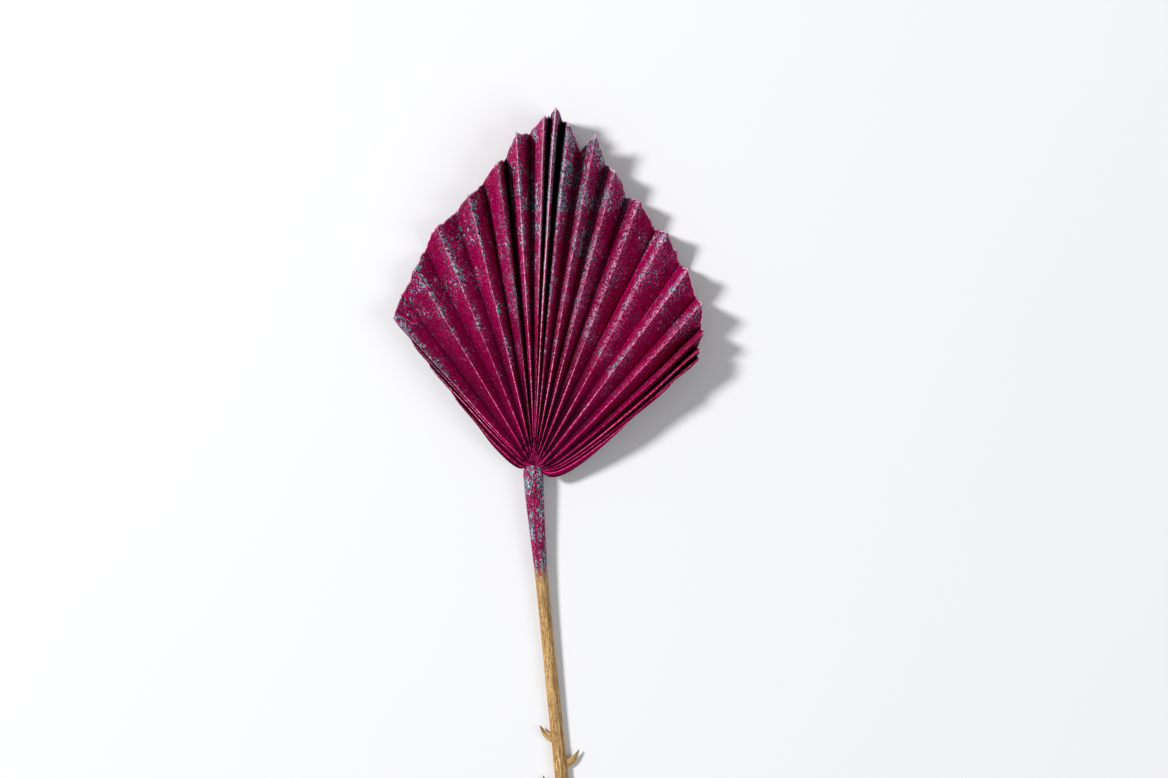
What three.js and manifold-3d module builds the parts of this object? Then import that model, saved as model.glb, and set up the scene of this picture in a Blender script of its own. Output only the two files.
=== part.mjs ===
// A fan palm leaf, picked, trimmed to a spear, dried and painted, lying on its back on a table.
// Two pieces: the pleated blade, which is one folded sheet gathered at a knot, and the petiole that
// carries it, a keeled stalk with hooked teeth along its lower margins and a plain cut end.
// Millimetres and degrees. +Z is up, +Y runs from the stalk to the blade's tip, and +X is to the right
// of a viewer who looks down on the upper face.
import * as THREE from "three";
import Module from "manifold-3d";
import { mergeVertices } from "three/addons/utils/BufferGeometryUtils.js";

const wasm = await Module();
wasm.setup();

// Driving dimensions of the blade
const FACET_ANGLE = 7.3; // true angle of every facet at the knot: a folded sheet can't stretch
const SHEET_THICKNESS = 0.65;
const STEEPEST = 6; // facets steeper than this slope get no thicker when measured upwards
const KNOT_HEIGHT = 9.08; // the knot's centre above the table
const KNOT_RADII = [6.2, 5.8, 3.4];
const GATHER_RADIUS = 5; // ring on which the folds leave the knot
const GATHER_SPREAD = 2.2; // a fold leaves the ring this many times further round than it ends
const LONGEST_FOLD = 191;
const BASE_ELEVATION = 8.6; // lifts the fan so that its middle valleys run about level
const ROLL = 1.2; // the fan lies rolled a little to the right
const TIP_DROOP = 3; // how far the tip sinks below the line it leaves the knot on
const SIDE_DROOP = 7.5; // how far a point SIDE_REACH to either side sinks
const SIDE_REACH = 60;
const SPINE_X = 2; // the fan arches over a line a little to the right of the knot
const RIGHT_LOBE = { from: 34, to: 66, bow: 10.4, turn: 24 }; // folds that bulge down beside the stalk
const LEFT_LOBE = { from: 43, to: 55, bow: 5.5, turn: 12 };
const LOBE_DROP = 0.35; // how far a bulging fold sinks, as a share of its bulge
const BLADE_ROWS = 11;

// The folds from the left margin to the right one: the direction in which each ends, measured from +Y
// towards +X, and how far from the knot the trimmed edge cuts it. Valleys and crests alternate, and
// both margins are valleys. Folds lie closed in the middle and in both lowest lobes, and open between.
const FOLDS = [
  [-55, 47], [-52.5, 55], [-50.5, 63], [-48.6, 76], [-47.6, 84], [-46.5, 92], [-45.8, 101],
  [-45, 109], [-39.3, 115], [-32.2, 123], [-27.6, 130], [-22.7, 137], [-17.6, 142],
  [-13.8, 148], [-10.3, 154], [-6.8, 162], [-5.4, 165], [-2.9, 177], [-0.7, 178],
  [1.8, 186], [2.7, 188], [3.6, 191], [4.6, 186], [6, 183], [8.5, 171], [10.8, 179],
  [13.6, 166], [15.8, 163], [19.5, 153], [22.5, 152], [28, 142], [30.6, 144], [37, 134],
  [39.5, 133], [45.5, 126], [47.7, 125], [52.2, 117], [53.7, 116], [55.8, 110], [57.1, 109],
  [58.1, 106], [59.2, 106], [60.5, 95], [62, 85], [66, 64],
];
const isCrest = (index) => index % 2 === 1;

// Driving dimensions of the petiole
const PETIOLE_LENGTH = 248; // from the knot's centre to the cut end
const PETIOLE_TOP = 3.4; // its upper end, below the knot's centre
const TONGUE_LENGTH = 7; // over which the upper end rounds up to its full width
const SLIM_WIDTH = 5.8;
const TOP_FLARE = 5.6; // extra width just below the knot
const FLARE_LENGTH = 46;
const BASE_FLARE = 2.6; // extra width at the cut end
const DEPTH_TO_WIDTH = 0.72;
const LEAN = 0.105; // sideways slope that the stalk bends into
const LEAN_LENGTH = 32;
const TOP_OFFSET = -0.4; // its upper end lies a little to the left of the knot
const PETIOLE_LIFT = 3.6; // its underside above the table at the knot
const LEVEL_FROM = 180; // from here to the cut end it lies flat on the table
const PETIOLE_ROWS = 26;
const PETIOLE_SIDES = 14;
const FLAT_DEPTH = 0.62; // share of the lower half's depth where the flat underside cuts it
const CLEARANCE = 0.3; // gap between the stalk and the blade's knot

// Hooked teeth on the petiole's margins: distance from the knot, side and length of each
const TEETH = [
  { along: 154, side: -1, length: 9 },
  { along: 168, side: 1, length: 10 },
  { along: 183, side: -1, length: 11 },
  { along: 201, side: 1, length: 10 },
  { along: 212, side: -1, length: 9 },
  { along: 231, side: 1, length: 11 },
];
const TOOTH_BASE = 5; // along the margin
const TOOTH_THICKNESS = 1.6;
const TOOTH_SINK = 1.6; // how far its root reaches into the stalk
const TOOTH_HOOK = 0.75; // how far it leans towards the blade, as a share of its length

const radians = THREE.MathUtils.degToRad;
const clamp01 = (x) => Math.min(1, Math.max(0, x));

// Turns a closed geometry into a solid that can be joined and cut.
function solidFrom(geometry) {
  const bare = new THREE.BufferGeometry().setAttribute("position", geometry.getAttribute("position"));
  if (geometry.index) bare.setIndex(geometry.index);
  const merged = mergeVertices(bare, 1e-4);
  return new wasm.Manifold(
    new wasm.Mesh({
      numProp: 3,
      vertProperties: new Float32Array(merged.attributes.position.array),
      triVerts: new Uint32Array(merged.index.array),
    }),
  );
}

function geometryFrom(solid) {
  const mesh = solid.getMesh();
  const geometry = new THREE.BufferGeometry();
  geometry.setAttribute("position", new THREE.BufferAttribute(new Float32Array(mesh.vertProperties), 3));
  geometry.setIndex(new THREE.BufferAttribute(new Uint32Array(mesh.triVerts), 1));
  geometry.computeVertexNormals();
  return geometry;
}

function geometryOf(points, triangles) {
  const geometry = new THREE.BufferGeometry();
  geometry.setAttribute("position", new THREE.Float32BufferAttribute(points.flat(), 3));
  geometry.setIndex(triangles.flat());
  return geometry;
}

// Elevation of each fold. Every facet is FACET_ANGLE wide, so the closer two folds lie in plan, the
// further one stands above the other. Measured from the crest at the left corner of the fan.
function foldElevations() {
  const corner = FOLDS.findIndex(([azimuth]) => azimuth === -45);
  const rise = (index) => {
    const open = FOLDS[index + 1][0] - FOLDS[index][0];
    const step = Math.sqrt(FACET_ANGLE ** 2 - open ** 2);
    return isCrest(index) ? -step : step;
  };
  const elevations = FOLDS.map(() => 0);
  for (let i = corner; i + 1 < FOLDS.length; i++) elevations[i + 1] = elevations[i] + rise(i);
  for (let i = corner; i > 0; i--) elevations[i - 1] = elevations[i] - rise(i - 1);
  return elevations;
}

// How much a fold belongs to the lobe on its side, from 0 to 1.
function lobeOf(azimuth) {
  const lobe = azimuth > 0 ? RIGHT_LOBE : LEFT_LOBE;
  const share = clamp01((Math.abs(azimuth) - lobe.from) / (lobe.to - lobe.from));
  return { bow: lobe.bow * share, turn: lobe.turn * share };
}

// A point of the folded sheet's middle surface: t runs from 0 at the gathering ring to 1 at the edge.
function sheetPoint(azimuth, reach, elevation, t) {
  const lobe = lobeOf(azimuth);
  const side = Math.sign(azimuth) || 1;
  const start = radians(azimuth * GATHER_SPREAD + side * lobe.turn);
  const end = radians(azimuth);
  const from = new THREE.Vector2(Math.sin(start), Math.cos(start)).multiplyScalar(GATHER_RADIUS);
  const to = new THREE.Vector2(Math.sin(end), Math.cos(end)).multiplyScalar(reach);
  const along = to.clone().sub(from).normalize();
  const outward = new THREE.Vector2(along.y, -along.x).multiplyScalar(side);
  const bow = 2.14 * lobe.bow * t ** 0.3 * (1 - t) ** 1.2;
  const plan = from.lerp(to, t).addScaledVector(outward, bow);
  const radius = plan.length();
  const droop = TIP_DROOP * (radius / LONGEST_FOLD) ** 2 + SIDE_DROOP * ((plan.x - SPINE_X) / SIDE_REACH) ** 2;
  const rise = radius * Math.tan(radians(elevation + BASE_ELEVATION)) - plan.x * Math.tan(radians(ROLL));
  return [plan.x, plan.y, KNOT_HEIGHT + rise - droop * clamp01(radius / SIDE_REACH) - bow * LOBE_DROP];
}

// The sheet as columns of points, one on each fold and one halfway across each facet.
function sheetColumns() {
  const elevations = foldElevations();
  const columns = [];
  FOLDS.forEach(([azimuth, reach], i) => {
    columns.push([azimuth, reach, elevations[i]]);
    if (i + 1 === FOLDS.length) return;
    const [nextAzimuth, nextReach] = FOLDS[i + 1];
    columns.push([(azimuth + nextAzimuth) / 2, (reach + nextReach) / 2, (elevations[i] + elevations[i + 1]) / 2]);
  });
  const stations = Array.from({ length: BLADE_ROWS }, (_, k) => (k / (BLADE_ROWS - 1)) ** 1.4);
  return columns.map(([azimuth, reach, elevation]) =>
    stations.map((t) => sheetPoint(azimuth, reach, elevation, t)),
  );
}

// A facet that stands steeply needs more thickness measured upwards to be as thick across.
function uprightThickness(columns, i, k) {
  const before = columns[Math.max(0, i - 1)][k];
  const here = columns[i][k];
  const after = columns[Math.min(columns.length - 1, i + 1)][k];
  const slope = (a, b) => Math.abs(b[2] - a[2]) / Math.max(1e-6, Math.hypot(b[0] - a[0], b[1] - a[1]));
  const steepest = Math.max(slope(before, here), slope(here, after));
  return SHEET_THICKNESS * Math.hypot(1, Math.min(steepest, STEEPEST));
}

function pleatedSheet() {
  const columns = sheetColumns();
  const width = columns.length;
  const upper = (i, k) => i * BLADE_ROWS + k;
  const lower = (i, k) => (width + i) * BLADE_ROWS + k;
  const offset = (sign) =>
    columns.flatMap((column, i) =>
      column.map(([x, y, z], k) => [x, y, z + (sign * uprightThickness(columns, i, k)) / 2]),
    );
  const triangles = [];
  const quad = (a, b, c, d) => triangles.push([a, b, c], [a, c, d]);
  for (let i = 0; i + 1 < width; i++) {
    for (let k = 0; k + 1 < BLADE_ROWS; k++) {
      quad(upper(i, k), upper(i + 1, k), upper(i + 1, k + 1), upper(i, k + 1));
      triangles.push([lower(i, k), lower(i + 1, k + 1), lower(i + 1, k)]);
      triangles.push([lower(i, k), lower(i, k + 1), lower(i + 1, k + 1)]);
    }
    quad(lower(i, 0), lower(i + 1, 0), upper(i + 1, 0), upper(i, 0));
    quad(upper(i, BLADE_ROWS - 1), upper(i + 1, BLADE_ROWS - 1), lower(i + 1, BLADE_ROWS - 1), lower(i, BLADE_ROWS - 1));
  }
  for (let k = 0; k + 1 < BLADE_ROWS; k++) {
    quad(upper(0, k), upper(0, k + 1), lower(0, k + 1), lower(0, k));
    quad(upper(width - 1, k), lower(width - 1, k), lower(width - 1, k + 1), upper(width - 1, k + 1));
  }
  return solidFrom(geometryOf([...offset(1), ...offset(-1)], triangles));
}

function knot() {
  const ball = new THREE.SphereGeometry(1, 20, 12);
  ball.scale(...KNOT_RADII);
  ball.translate(0, 0, KNOT_HEIGHT);
  return solidFrom(ball);
}

// The stalk's middle line in plan, by distance below the knot.
const leanAt = (along) => TOP_OFFSET + (LEAN * along * along) / (along + LEAN_LENGTH);
const widthAt = (along) =>
  SLIM_WIDTH + TOP_FLARE * Math.exp(-((along / FLARE_LENGTH) ** 2)) + BASE_FLARE * (along / PETIOLE_LENGTH) ** 2;

// Height of the widest line of the stalk's section above the table.
function marginHeight(along) {
  const lift = PETIOLE_LIFT * (1 - THREE.MathUtils.smoothstep(along, 0, LEVEL_FROM));
  return lift + (FLAT_DEPTH * widthAt(along) * DEPTH_TO_WIDTH) / 2;
}

// The stalk: keeled above, rounded below with a flat underside, and grown by margin all round.
function stalk(margin) {
  const points = [];
  const triangles = [];
  for (let k = 0; k < PETIOLE_ROWS; k++) {
    const along = PETIOLE_TOP + (PETIOLE_LENGTH - PETIOLE_TOP) * (k / (PETIOLE_ROWS - 1)) ** 1.35;
    const roundOff = Math.sqrt(1 - (1 - clamp01((along - PETIOLE_TOP + 0.8) / TONGUE_LENGTH)) ** 2);
    const half = (widthAt(along) / 2) * roundOff;
    const depth = half * DEPTH_TO_WIDTH;
    for (let s = 0; s < PETIOLE_SIDES; s++) {
      const turn = (2 * Math.PI * (s + 0.5)) / PETIOLE_SIDES;
      const across = Math.cos(turn);
      const up = Math.sin(turn);
      const rise = up > 0 ? depth * up * (1 + 0.3 * (1 - Math.abs(across))) : depth * Math.max(-FLAT_DEPTH, up);
      points.push([
        leanAt(along) + across * (half + margin),
        -along + (k === 0 ? margin : 0),
        marginHeight(along) + rise + margin * Math.sign(up),
      ]);
    }
  }
  const ring = (k, s) => k * PETIOLE_SIDES + (s % PETIOLE_SIDES);
  for (let s = 0; s < PETIOLE_SIDES; s++) {
    for (let k = 0; k + 1 < PETIOLE_ROWS; k++) {
      triangles.push([ring(k, s), ring(k + 1, s + 1), ring(k + 1, s)]);
      triangles.push([ring(k, s), ring(k, s + 1), ring(k + 1, s + 1)]);
    }
    if (s > 0 && s + 1 < PETIOLE_SIDES) {
      triangles.push([ring(0, 0), ring(0, s + 1), ring(0, s)]);
      triangles.push([ring(PETIOLE_ROWS - 1, 0), ring(PETIOLE_ROWS - 1, s), ring(PETIOLE_ROWS - 1, s + 1)]);
    }
  }
  return solidFrom(geometryOf(points, triangles));
}

// A flat hooked tooth that leans towards the blade.
function tooth({ along, side, length }) {
  const outline = new THREE.Shape();
  outline.moveTo(-TOOTH_SINK, -TOOTH_BASE / 2);
  outline.lineTo(0, -TOOTH_BASE / 2);
  outline.quadraticCurveTo(length * 0.55, -TOOTH_BASE * 0.1, length * 0.66, length * TOOTH_HOOK);
  outline.quadraticCurveTo(length * 0.3, TOOTH_BASE * 0.55, 0, TOOTH_BASE / 2);
  outline.lineTo(-TOOTH_SINK, TOOTH_BASE / 2);
  const plate = new THREE.ExtrudeGeometry(outline, { depth: TOOTH_THICKNESS, bevelEnabled: false, curveSegments: 5 });
  plate.translate(0, 0, -TOOTH_THICKNESS / 2);
  if (side < 0) plate.rotateY(Math.PI);
  plate.translate(leanAt(along) + (side * widthAt(along)) / 2, -along, marginHeight(along) + 0.3);
  return solidFrom(plate);
}

function petiole() {
  return TEETH.reduce((whole, one) => whole.add(tooth(one)), stalk(0));
}

// The blade is cut clear of the stalk's upper end, which lies in its knot.
function blade() {
  const whole = pleatedSheet().add(knot()).subtract(stalk(CLEARANCE));
  return whole.decompose().sort((a, b) => b.volume() - a.volume())[0];
}

const leaf = new THREE.Group();

function place(name, solid, material) {
  const mesh = new THREE.Mesh(geometryFrom(solid), material);
  mesh.name = name;
  leaf.add(mesh);
}

place("blade", blade(), new THREE.MeshStandardMaterial({ color: 0x8c0f43, roughness: 0.75, metalness: 0 }));
place("petiole", petiole(), new THREE.MeshStandardMaterial({ color: 0xbd9661, roughness: 0.85, metalness: 0 }));

// The frame's origin is below the middle of the whole leaf, on the table.
const extent = new THREE.Box3().setFromObject(leaf);
leaf.position.set(-(extent.min.x + extent.max.x) / 2, -(extent.min.y + extent.max.y) / 2, -extent.min.z);

export default leaf;
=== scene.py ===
import math

import bpy
import numpy as np
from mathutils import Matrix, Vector


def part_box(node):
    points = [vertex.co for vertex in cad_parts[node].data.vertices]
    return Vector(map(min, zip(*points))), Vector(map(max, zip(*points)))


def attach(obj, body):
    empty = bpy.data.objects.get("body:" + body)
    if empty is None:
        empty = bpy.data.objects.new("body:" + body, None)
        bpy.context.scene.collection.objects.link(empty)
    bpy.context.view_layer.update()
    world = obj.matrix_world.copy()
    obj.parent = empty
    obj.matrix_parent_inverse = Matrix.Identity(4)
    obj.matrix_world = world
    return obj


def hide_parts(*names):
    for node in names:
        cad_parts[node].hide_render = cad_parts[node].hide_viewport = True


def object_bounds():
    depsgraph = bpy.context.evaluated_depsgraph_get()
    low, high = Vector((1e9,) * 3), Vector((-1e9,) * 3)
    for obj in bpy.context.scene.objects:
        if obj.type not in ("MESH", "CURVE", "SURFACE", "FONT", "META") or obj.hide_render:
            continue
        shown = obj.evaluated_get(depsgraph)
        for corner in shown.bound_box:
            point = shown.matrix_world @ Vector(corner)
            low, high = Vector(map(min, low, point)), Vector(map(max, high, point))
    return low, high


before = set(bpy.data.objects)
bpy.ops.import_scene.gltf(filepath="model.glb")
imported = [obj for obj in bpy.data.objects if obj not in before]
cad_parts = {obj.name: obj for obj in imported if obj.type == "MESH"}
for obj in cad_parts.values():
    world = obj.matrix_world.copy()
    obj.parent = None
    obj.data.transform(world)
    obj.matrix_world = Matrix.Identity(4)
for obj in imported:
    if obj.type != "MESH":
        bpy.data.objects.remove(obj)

MM = 0.001
cad_low, cad_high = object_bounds()

# Dimensions shared with the solids

# Each fold has the direction in which it ends, clockwise from straight ahead, and its length
FOLDS = [
    (-55, 47), (-52.5, 55), (-50.5, 63), (-48.6, 76), (-47.6, 84), (-46.5, 92), (-45.8, 101),
    (-45, 109), (-39.3, 115), (-32.2, 123), (-27.6, 130), (-22.7, 137), (-17.6, 142),
    (-13.8, 148), (-10.3, 154), (-6.8, 162), (-5.4, 165), (-2.9, 177), (-0.7, 178),
    (1.8, 186), (2.7, 188), (3.6, 191), (4.6, 186), (6, 183), (8.5, 171), (10.8, 179),
    (13.6, 166), (15.8, 163), (19.5, 153), (22.5, 152), (28, 142), (30.6, 144), (37, 134),
    (39.5, 133), (45.5, 126), (47.7, 125), (52.2, 117), (53.7, 116), (55.8, 110), (57.1, 109),
    (58.1, 106), (59.2, 106), (60.5, 95), (62, 85), (66, 64),
]
LEFT_CORNER = 7
TIP = 21
LONGEST_FOLD = FOLDS[TIP][1]
FACET_ANGLE = 7.3
KNOT_HEIGHT = 9.08
GATHER_RADIUS = 5.0
BASE_ELEVATION = 8.6
ROLL = 1.2
TIP_DROOP = 3.0
SIDE_DROOP = 7.5
SIDE_REACH = 60.0
SPINE_X = 2.0
RIGHT_LOBE = {"from": 34, "to": 66, "bow": 10.4}
LEFT_LOBE = {"from": 43, "to": 55, "bow": 5.5}
LOBE_DROP = 0.35
PETIOLE_LENGTH = 248.0
PETIOLE_TOP = 3.4
TONGUE_LENGTH = 7.0
SLIM_WIDTH = 5.8
TOP_FLARE = 5.6
FLARE_LENGTH = 46.0
BASE_FLARE = 2.6
DEPTH_TO_WIDTH = 0.72
LEAN = 0.105
LEAN_LENGTH = 32.0
TOP_OFFSET = -0.4
PETIOLE_LIFT = 3.6
LEVEL_FROM = 180.0
FLAT_DEPTH = 0.62
# Each tooth has its distance from the knot, its side and its length
TEETH = [(154, -1, 9), (168, 1, 10), (183, -1, 11), (201, 1, 10), (212, -1, 9), (231, 1, 11)]

# Where the knot's middle lies in the frame, found from the two solids' boxes
blade_low, blade_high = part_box("blade")
petiole_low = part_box("petiole")[0]
corner_azimuth, corner_reach = FOLDS[LEFT_CORNER]
tip_azimuth = FOLDS[TIP][0]
KNOT = np.array([
    blade_low.x - corner_reach * MM * math.sin(math.radians(corner_azimuth)),
    blade_high.y - LONGEST_FOLD * MM * math.cos(math.radians(tip_azimuth)),
    petiole_low.z,
])

# One seed for each wandering value
SEEDS = {
    "sway": 3, "waver": 5, "edge": 7, "swell": 11, "cut": 17, "frays": 19, "spray": 23, "bare": 29,
    "ribs": 31, "fine_ribs": 37, "bulges": 41,
}


def smoothstep(low, high, x):
    """Rises smoothly from 0 at low to 1 at high."""
    t = np.clip((x - low) / (high - low), 0, 1)
    return t * t * (3 - 2 * t)


def falloff(low, high, x):
    """Falls smoothly from 1 at low to 0 at high."""
    return 1 - smoothstep(low, high, x)


def ripple(seed, a, b):
    """A smooth wandering value around 0, at most about 1, over two coordinates."""
    draw = np.random.RandomState(seed)
    waves, most = 5, 2.4
    total = 0
    for k in range(waves):
        fa, fb, phase = draw.uniform(0.4, 1.6), draw.uniform(0.5, 1.7), draw.uniform(0, 2 * math.pi)
        wave = np.sin(fa * a * (1 + 0.4 * k) + fb * b * (1 + 0.5 * k) + phase)
        total = total + wave / (1 + 0.6 * k)
    return total / most


# Mesh making

def make_object(name, points, faces, smooth, attributes, material, node=None):
    mesh = bpy.data.meshes.new(name)
    mesh.from_pydata((points * MM + KNOT).tolist(), [], faces)
    mesh.polygons.foreach_set("use_smooth", smooth)
    for key, values in attributes.items():
        layer = mesh.attributes.new(key, "FLOAT", "POINT")
        layer.data.foreach_set("value", np.asarray(values, np.float32))
    mesh.materials.append(material)
    mesh.update()
    made = bpy.data.objects.new(name, mesh)
    bpy.context.scene.collection.objects.link(made)
    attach(made, "root")
    if node:
        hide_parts(node)
    return made


def tube_faces(base, rings, sides):
    """Quads between neighbouring rings of points, the first of which starts at base."""
    faces = []
    for k in range(rings - 1):
        for side in range(sides):
            a, b = base + k * sides + side, base + k * sides + (side + 1) % sides
            faces.append((a, b, b + sides, a + sides))
    return faces


# Material making

class Nodes:
    """A small helper that adds and joins shader nodes."""

    def __init__(self, name):
        self.material = bpy.data.materials.new(name)
        self.material.use_nodes = True
        self.tree = self.material.node_tree
        self.tree.nodes.clear()
        self.out = self.tree.nodes.new("ShaderNodeOutputMaterial")
        self.shader = self.tree.nodes.new("ShaderNodeBsdfPrincipled")
        self.tree.links.new(self.shader.outputs[0], self.out.inputs[0])

    def feed(self, socket, value):
        if isinstance(value, bpy.types.NodeSocket):
            self.tree.links.new(value, socket)
        else:
            socket.default_value = value

    def math(self, operation, a, b=0.0, c=0.0, clamp=False):
        node = self.tree.nodes.new("ShaderNodeMath")
        node.operation = operation
        node.use_clamp = clamp
        for socket, value in zip(node.inputs, (a, b, c)):
            self.feed(socket, value)
        return node.outputs[0]

    def times(self, a, b, clamp=False):
        return self.math("MULTIPLY", a, b, clamp=clamp)

    def plus(self, a, b, clamp=False):
        return self.math("ADD", a, b, clamp=clamp)

    def minus(self, a, b):
        return self.math("SUBTRACT", a, b)

    def larger(self, a, b):
        return self.math("MAXIMUM", a, b)

    def attribute(self, name):
        node = self.tree.nodes.new("ShaderNodeAttribute")
        node.attribute_name = name
        return node.outputs["Fac"]

    def place(self):
        return self.tree.nodes.new("ShaderNodeTexCoord").outputs["Object"]

    def vector(self, x, y, z=0.0):
        node = self.tree.nodes.new("ShaderNodeCombineXYZ")
        for socket, value in zip(node.inputs, (x, y, z)):
            self.feed(socket, value)
        return node.outputs[0]

    def scaled(self, vector, scale):
        node = self.tree.nodes.new("ShaderNodeMapping")
        node.inputs["Scale"].default_value = scale
        self.feed(node.inputs["Vector"], vector)
        return node.outputs[0]

    def noise(self, vector, scale, detail=2.0, roughness=0.5, distortion=0.0):
        node = self.tree.nodes.new("ShaderNodeTexNoise")
        self.feed(node.inputs["Vector"], vector)
        node.inputs["Scale"].default_value = scale
        node.inputs["Detail"].default_value = detail
        node.inputs["Roughness"].default_value = roughness
        node.inputs["Distortion"].default_value = distortion
        return node.outputs["Fac"]

    def ramp(self, value, low, high, to_low=0.0, to_high=1.0, smooth=True):
        node = self.tree.nodes.new("ShaderNodeMapRange")
        node.interpolation_type = "SMOOTHSTEP" if smooth else "LINEAR"
        for key, given in (("Value", value), ("From Min", low), ("From Max", high),
                           ("To Min", to_low), ("To Max", to_high)):
            self.feed(node.inputs[key], given)
        return node.outputs[0]

    def mix(self, share, a, b):
        node = self.tree.nodes.new("ShaderNodeMix")
        node.data_type = "RGBA"
        self.feed(node.inputs["Factor"], share)
        self.feed(node.inputs[6], a)
        self.feed(node.inputs[7], b)
        return node.outputs[2]

    def bump(self, height, strength, distance, normal=None):
        node = self.tree.nodes.new("ShaderNodeBump")
        node.inputs["Strength"].default_value = strength
        node.inputs["Distance"].default_value = distance
        self.feed(node.inputs["Height"], height)
        if normal is not None:
            self.feed(node.inputs["Normal"], normal)
        return node.outputs[0]

    def finish(self, colour, roughness, specular, normal=None):
        self.feed(self.shader.inputs["Base Color"], colour)
        self.feed(self.shader.inputs["Roughness"], roughness)
        self.feed(self.shader.inputs["Specular IOR Level"], specular)
        if normal is not None:
            self.feed(self.shader.inputs["Normal"], normal)
        return self.material


def srgb(red, green, blue):
    def linear(value):
        value /= 255
        return value / 12.92 if value <= 0.04045 else ((value + 0.055) / 1.055) ** 2.4
    return (linear(red), linear(green), linear(blue), 1.0)


# Paint, from its own colours to stains and rubbed places, with painted highlight and painted shade
MAGENTA = srgb(147, 0, 70)
CRIMSON = srgb(124, 0, 49)
BRIGHT = srgb(224, 2, 102)
DEEP = srgb(72, 0, 31)
# Near-black for painted shade in the valleys and closed pleats, which also hold dust and got little paint
DARK_WINE = srgb(22, 2, 10)
MAUVE = srgb(122, 52, 104)
INK = srgb(44, 20, 48)
DRY = srgb(232, 212, 218)
# Pale and hot pink for the crest lines, partly rubbed paint and partly painted highlight; the pale pink
# also marks the cut edge
WORN_AND_HIGHLIGHT_PINK = srgb(250, 192, 218)
HOT_PINK = srgb(255, 52, 142)
GRAIN_PINK = srgb(222, 152, 190)
# Droplets
TEAL = srgb(70, 164, 156)
SLATE = srgb(88, 98, 132)
LILAC = srgb(164, 138, 180)
PALE = srgb(226, 234, 240)
# Bare stalk
STRAW = srgb(190, 148, 90)
STRAW_LIGHT = srgb(224, 188, 130)
STRAW_DARK = srgb(116, 80, 46)
STRAW_GREY = srgb(140, 112, 96)
PITH = srgb(120, 88, 52)
# Ground
GROUND_DARK = srgb(236, 236, 238)
GROUND_LIGHT = srgb(239, 239, 240)

# How fine each pattern is, as a noise scale per metre
PATTERN = {
    "ground": 3, "broad": 24, "greyed": 70, "leaf_clouds": 74, "stalk_clouds": 90, "fine": 330,
    "kind": 340, "flecks": 620, "ragged": 620, "pale": 700, "large_drops": 720, "stain": 760,
    "grains": 800, "specks": 1050, "small_drops": 1080,
}


def base_coat(nodes, place, density, grain, painted_brightening):
    """Magenta paint with dark and bright grain. Mauve haze and dark stains lie around the droplets."""
    broad = nodes.noise(place, PATTERN["broad"], 3, 0.55)
    fine = nodes.noise(place, PATTERN["fine"], 3, 0.6)
    base = nodes.mix(nodes.ramp(broad, 0.35, 0.65), CRIMSON, MAGENTA)
    base = nodes.mix(nodes.times(nodes.ramp(fine, 0.40, 0.66, 0, 0.4), grain), base, DEEP)
    # Painted light brightens the paint where asked
    base = nodes.mix(painted_brightening, base, BRIGHT)
    flecks = nodes.ramp(nodes.noise(place, PATTERN["flecks"], 1.5, 0.5), 0.48, 0.57)
    flecks = nodes.times(flecks, nodes.ramp(density, 0.1, 0.6, 0.3, 1))
    base = nodes.mix(nodes.times(flecks, grain), base, BRIGHT)
    haze = nodes.times(nodes.ramp(density, 0.05, 0.4, 0, 0.18), nodes.ramp(fine, 0.38, 0.6, 0.1, 1))
    base = nodes.mix(haze, base, MAUVE)
    specks = nodes.ramp(nodes.noise(place, PATTERN["specks"], 1, 0.5), 0.54, 0.60)
    specks = nodes.times(specks, nodes.ramp(density, 0, 0.25, 0.24, 0.5))
    base = nodes.mix(nodes.times(specks, grain), base, MAUVE)
    level = nodes.ramp(density, 0, 1, 0.66, 0.40, smooth=False)
    stain = nodes.ramp(nodes.noise(place, PATTERN["stain"], 2, 0.6), level, nodes.plus(level, 0.08))
    stain = nodes.times(stain, nodes.ramp(density, 0.1, 0.6, 0.5, 0.85))
    return nodes.mix(stain, base, INK), fine


def droplets(nodes, place, density):
    """Where droplets lie, and their teal, slate, lilac and pale colours."""
    # Droplets run together where they are dense
    dense = nodes.ramp(density, 0.3, 0.6)
    small = nodes.noise(place, PATTERN["small_drops"], 1.0, 0.5, 0.25)
    large = nodes.noise(place, PATTERN["large_drops"], 1.5, 0.55, 0.3)
    spots = nodes.math("MULTIPLY_ADD", large, dense, nodes.times(small, nodes.minus(1, dense)))
    level = nodes.ramp(density, 0, 1, 0.70, 0.42, smooth=False)
    dots = nodes.ramp(spots, level, nodes.plus(level, 0.022))
    kind = nodes.noise(place, PATTERN["kind"], 2, 0.6)
    teal_below = nodes.ramp(density, 0.2, 0.6, 0.33, 0.43)
    colour = nodes.mix(nodes.ramp(kind, teal_below, nodes.plus(teal_below, 0.08)), TEAL, SLATE)
    colour = nodes.mix(nodes.ramp(kind, 0.5, 0.58), colour, LILAC)
    pale = nodes.ramp(nodes.noise(place, PATTERN["pale"], 1, 0.5), 0.57, 0.63)
    pale = nodes.times(pale, nodes.ramp(density, 0.15, 0.6, 0.22, 1))
    return dots, nodes.mix(pale, colour, PALE)


def paint_over(nodes, place, density, grain, painted_brightening=0.0):
    """Paint with its spattering of droplets, as dense as asked."""
    base, fine = base_coat(nodes, place, density, grain, painted_brightening)
    dots, drop = droplets(nodes, place, density)
    strength = nodes.times(dots, nodes.ramp(density, 0.1, 0.5, 0.66, 0.96))
    return nodes.mix(strength, base, drop), dots, fine


LEAF_ATTRIBUTES = [
    "ridge", "trough", "rim", "outward", "lane", "crest_line_strength", "painted_shade", "spray", "band", "light_and_shade", "bare",
    "smooth", "grainy",
]


def along_folds(nodes, at, across, outward, detail, roughness):
    """Noise drawn out along the folds."""
    stretched = nodes.vector(nodes.times(at["lane"], across), nodes.times(at["outward"], outward))
    return nodes.noise(stretched, 1, detail, roughness)


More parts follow.
